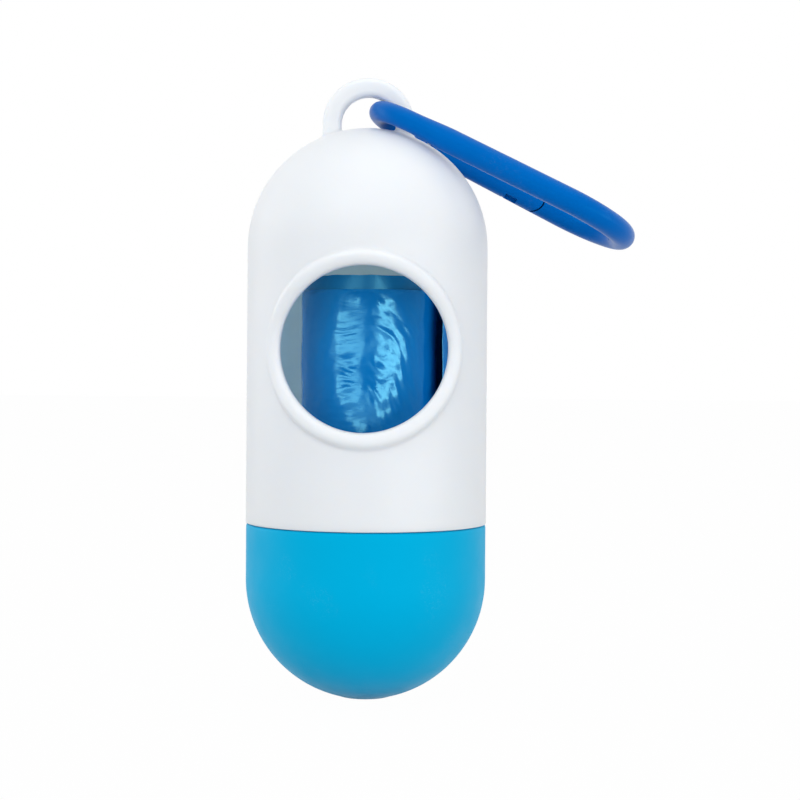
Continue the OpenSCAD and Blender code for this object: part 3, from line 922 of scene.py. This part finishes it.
# ---------------------------------------------------------------------------
# Bag roll: one long strip of thin blue film, folded flat and wound on the core.
# Its layers show as a spiral at both ends.
# ---------------------------------------------------------------------------
roll_low, roll_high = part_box("bag_roll")
roll_r = roll_high[0]
film_gap = 0.05 * mm
film_start_r = core_r + film_gap
film_turns = 24
edge_wander = 0.4 * mm
edge_room = 0.1 * mm

roll_form, given, close = new_form("wound_film", {
    "Start Radius": "Float", "End Radius": "Float", "Turns": "Float", "Layer": "Float",
    "Low": "Float", "High": "Float", "Edge Wander": "Float", "Seed": "Float"})
winding = add_node(roll_form, "GeometryNodeCurveSpiral", {
    "Resolution": 72, "Rotations": given["Turns"], "Start Radius": given["Start Radius"],
    "End Radius": given["End Radius"], "Height": 0.0})
winding = add_node(roll_form, "GeometryNodeSetCurveNormal", {"Curve": winding.outputs[0]},
                   mode="Z_UP")
high_less_low = maths(roll_form, "SUBTRACT", given["High"], given["Low"])
strip = add_node(roll_form, "GeometryNodeCurvePrimitiveQuadrilateral", {
    "Width": given["Layer"], "Height": high_less_low}, mode="RECTANGLE")
strip = add_node(roll_form, "GeometryNodeResampleCurve", {"Curve": strip.outputs[0], "Count": 44})
sheet = add_node(roll_form, "GeometryNodeCurveToMesh", {
    "Curve": winding.outputs[0], "Profile Curve": strip.outputs[0], "Fill Caps": True})
mid_height = maths(roll_form, "ADD", given["High"], given["Low"])
mid_height = maths(roll_form, "MULTIPLY", mid_height, 0.5)
lift = add_node(roll_form, "ShaderNodeCombineXYZ", {"Z": mid_height})
sheet = add_node(roll_form, "GeometryNodeTransform",
                 {"Geometry": sheet.outputs[0], "Translation": lift.outputs[0]})
where = add_node(roll_form, "GeometryNodeInputPosition").outputs[0]
wander = add_node(roll_form, "ShaderNodeTexNoise", {
    "Vector": where, "W": given["Seed"], "Scale": 340, "Detail": 1}, noise_dimensions="4D")
centred = maths(roll_form, "SUBTRACT", wander.outputs["Fac"], 0.5)
drift = add_node(roll_form, "ShaderNodeCombineXYZ", {
    "Z": maths(roll_form, "MULTIPLY", centred, given["Edge Wander"])})
sheet = add_node(roll_form, "GeometryNodeSetPosition",
                 {"Geometry": sheet.outputs[0], "Offset": drift.outputs[0]})
close(sheet.outputs[0])


def crinkled_film(name, colour, deep, gloss, crease):
    """Thin blue film: half gloss, with hair-fine creases and uneven depth of colour."""
    material, tree, shader = new_finish(name, {
        "IOR": 2.0, "Specular Tint": (0.24, 0.82, 0.95, 1)})
    place = tree.nodes.new("ShaderNodeTexCoord").outputs["Object"]
    cloud = noise(tree, place, 130, 3)
    shade = dyed(tree, cloud, (*colour, 1), (*deep, 1))
    roughness = between(tree, cloud, (0.3, 0.7), (gloss - 0.06, gloss + 0.06))
    laid = add_node(tree, "ShaderNodeMapping", {"Vector": place, "Scale": (420, 420, 1050)})
    creases = noise(tree, laid.outputs[0], 1, 4, Roughness=0.62, Distortion=0.7)
    surfaced(tree, shader, shade, roughness, creases, 0.8, crease)
    return material


roll_film = crinkled_film("rolled_film", (0.0, 0.17, 0.45), (0.0, 0.13, 0.36), gloss=0.34,
                          crease=0.03 * mm)
roll_layer = (roll_r - film_start_r) / film_turns - film_gap
roll_mesh = grown(roll_form, roll_film, start_radius=film_start_r + roll_layer / 2,
                  end_radius=roll_r - roll_layer / 2, turns=float(film_turns), layer=roll_layer,
                  low=roll_low[2] + edge_room, high=roll_high[2] - edge_room,
                  edge_wander=edge_wander, seed=3.0)
finished("bag_roll_winding", roll_mesh, roll_film, "roll", ["bag_roll"], 50)

# ---------------------------------------------------------------------------
# Outer bag: the bag that is drawn out next. It lies close to the roll in front,
# crinkled by handling, and its free end stands off in a loose turn at the right.
# ---------------------------------------------------------------------------
lead_low, lead_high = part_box("bag_lead")
crumple_room = 0.38 * mm
tight_r = -lead_low[0] - crumple_room
loose_shift = 2 * mm
loose_r = lead_high[0] - loose_shift
film_t = 0.1 * mm
turn_from, turn_to = 86, -294
front_edge = -66
slack_from, slack_over = -150, 60
side_lift = 0.65 * mm
side_from, side_over = 15, 60
left_wide, left_tall = (-7.5 * mm, -0.2 * mm), (-58 * mm, -31 * mm)
right_wide, right_tall = (0.3 * mm, 10.5 * mm), (-58 * mm, -28.6 * mm)
tuck_h = 0.8 * mm
tuck_in = 0.12 * mm


def swirl(across, along, size, seed):
    """Smooth unevenness, mostly between -1 and 1, from a few crossed waves."""
    pick = np.random.default_rng(seed)
    total = 0
    for _ in range(7):
        turn, phase = pick.uniform(0, 2 * math.pi, 2)
        length = size * pick.uniform(0.7, 1.5)
        total = total + np.cos((across * math.cos(turn) + along * math.sin(turn))
                               * 2 * math.pi / length + phase)
    return total / 7 ** 0.5


def folds(across, along, lean, pitch, seed):
    """Sharp folds that run at an angle to the level, uneven in spacing and in height."""
    run = math.radians(lean)
    steps = ((along * math.cos(run) - across * math.sin(run)) / pitch
             + 0.45 * swirl(across, along, 5 * pitch, seed))
    height = 0.55 + 0.45 * swirl(across, along, 4 * pitch, seed + 1)
    return height * np.abs(2 * (steps % 1) - 1)


def eased(share):
    """A share from 0 to 1 that starts and ends softly."""
    return share * share * (3 - 2 * share)


def window(value, low, high, soft):
    """1 between two values, and 0 beyond them, with soft edges."""
    up = np.clip((value - low) / soft, 0, 1)
    down = np.clip((high - value) / soft, 0, 1)
    return eased(up * down)


front_turns = np.linspace(turn_from, front_edge, 141)
back_turns = np.linspace(front_edge, turn_to, 71)[1:]
bag_turns = np.radians(np.concatenate([front_turns, back_turns]))
crumpled_z = -53 * mm
bag_levels = np.concatenate([np.linspace(lead_low[2], crumpled_z, 50)[:-1],
                             np.linspace(crumpled_z, lead_high[2], 126)])
turn_grid, level_grid = np.meshgrid(bag_turns, bag_levels)
across = tight_r * turn_grid
along = level_grid
stand_off = (loose_shift * np.sin(turn_grid)
             + np.sqrt(loose_r ** 2 - (loose_shift * np.cos(turn_grid)) ** 2))
slack = np.clip((math.radians(slack_from) - turn_grid) / math.radians(slack_over), 0, 1)
off_side = np.clip((turn_grid - math.radians(side_from)) / math.radians(side_over), 0, 1)
bag_r = (tight_r + eased(slack) * np.clip(stand_off - tight_r, 0, None)
         + side_lift * eased(off_side))
left_zone = window(across, *left_wide, soft=2 * mm) * window(along, *left_tall, soft=3 * mm)
right_zone = window(across, *right_wide, soft=1.5 * mm) * window(along, *right_tall, soft=2 * mm)
crumple = left_zone * (0.03 * folds(across, along, lean=4, pitch=1.15 * mm, seed=11)
                       + 0.04 * folds(across, along, lean=30, pitch=2.6 * mm, seed=23))
crumple = crumple + right_zone * np.maximum(
    0.16 * folds(across, along, lean=-62, pitch=2.8 * mm, seed=31),
    0.11 * folds(across, along, lean=-52, pitch=1.8 * mm, seed=47))
crumple = (crumple + 0.08 * swirl(across, along, size=9 * mm, seed=5)
           + 0.015 * swirl(across, along, size=2.5 * mm, seed=8))
top_tuck = np.clip((along - lead_high[2] + tuck_h) / tuck_h, 0, 1)
bag_r = bag_r + crumple * mm * (1 - top_tuck) - tuck_in * top_tuck ** 2
bag_skin = np.stack([bag_r * np.sin(turn_grid), -bag_r * np.cos(turn_grid), level_grid], axis=-1)
bag_back = bag_skin - film_t * np.stack(
    [np.sin(turn_grid), -np.cos(turn_grid), 0 * turn_grid], axis=-1)
bag_points, bag_faces = [], []
add_grid(bag_points, bag_faces, bag_skin, wrap=False)
add_grid(bag_points, bag_faces, bag_back, wrap=False)
for side in (0, -1):
    add_grid(bag_points, bag_faces, np.stack([bag_skin[side], bag_back[side]]), wrap=False)
    add_grid(bag_points, bag_faces, np.stack([bag_skin[:, side], bag_back[:, side]]), wrap=False)
bag_film = crinkled_film("outer_bag_film", (0.0, 0.20, 0.58), (0.0, 0.16, 0.50), gloss=0.16,
                         crease=0.03 * mm)
finished("outer_bag", joined("outer_bag", [(bag_points, bag_faces)]), bag_film,
         "roll", ["bag_lead"], 60)
